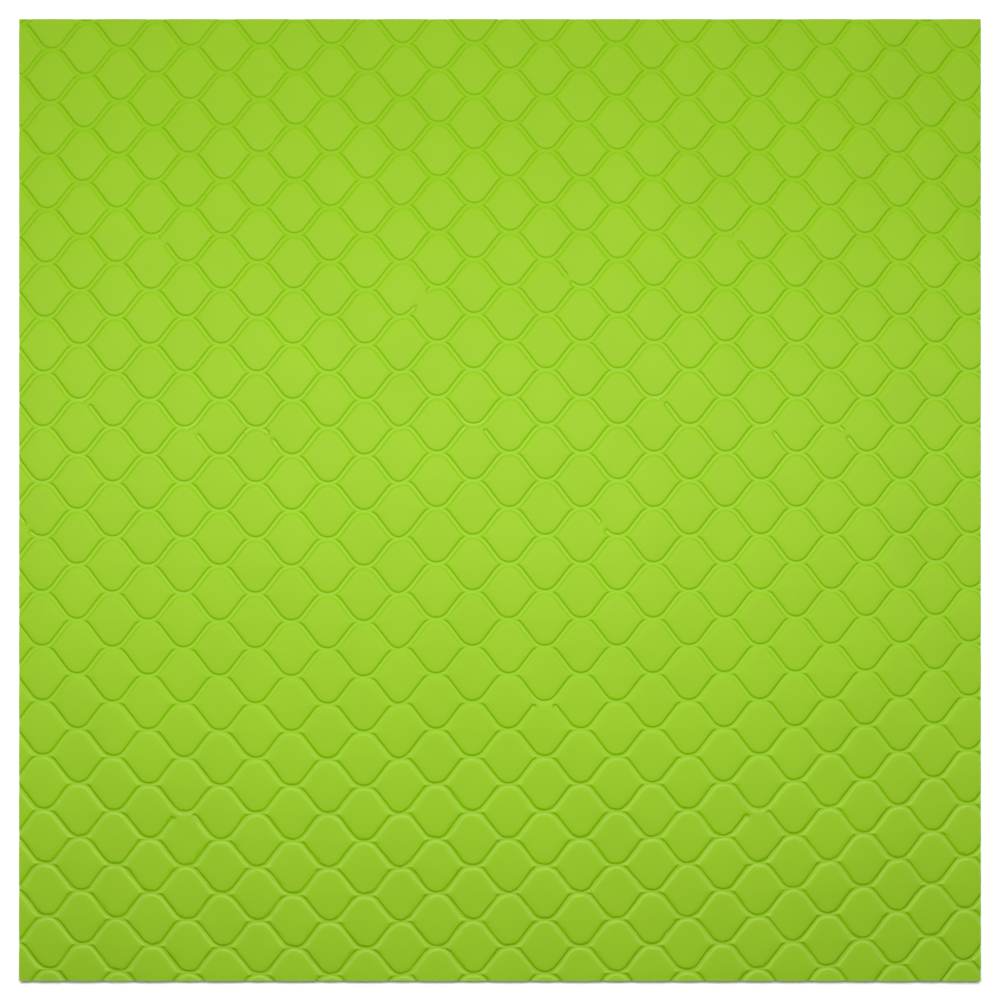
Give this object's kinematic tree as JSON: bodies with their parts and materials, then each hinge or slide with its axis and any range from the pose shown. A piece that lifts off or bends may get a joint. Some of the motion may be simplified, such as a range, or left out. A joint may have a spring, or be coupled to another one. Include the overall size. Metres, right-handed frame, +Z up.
{
  "type": "net-embossed vinyl sheet",
  "caption": "Square piece of lime green foam-backed vinyl sheet, embossed with a wavy net of shallow channels around padded diamond cells.",
  "frame": {"origin": "centre of the underside, on the surface that the sheet lies on", "axes": "+Z up out of the embossed face, +X along the wavy net lines, +Y across them towards the picture's top edge"},
  "size_m": [0.2, 0.2, 0.0016],
  "materials": {
    "face_vinyl": "satin embossed soft vinyl, lime green",
    "foam": "matt expanded vinyl foam, pale green",
    "tie_vinyl": "matt soft vinyl coat",
    "back_vinyl": "matt soft vinyl coat, pale grey",
    "yarn": "flat polyester filament yarn, white"
  },
  "bodies": {
    "root": {"back_coat": "back_vinyl", "weft_yarns": "yarn", "warp_yarns": "yarn", "tie_coat": "tie_vinyl", "foam_layer": "foam", "face_skin": "face_vinyl"}
  },
  "joints": []
}
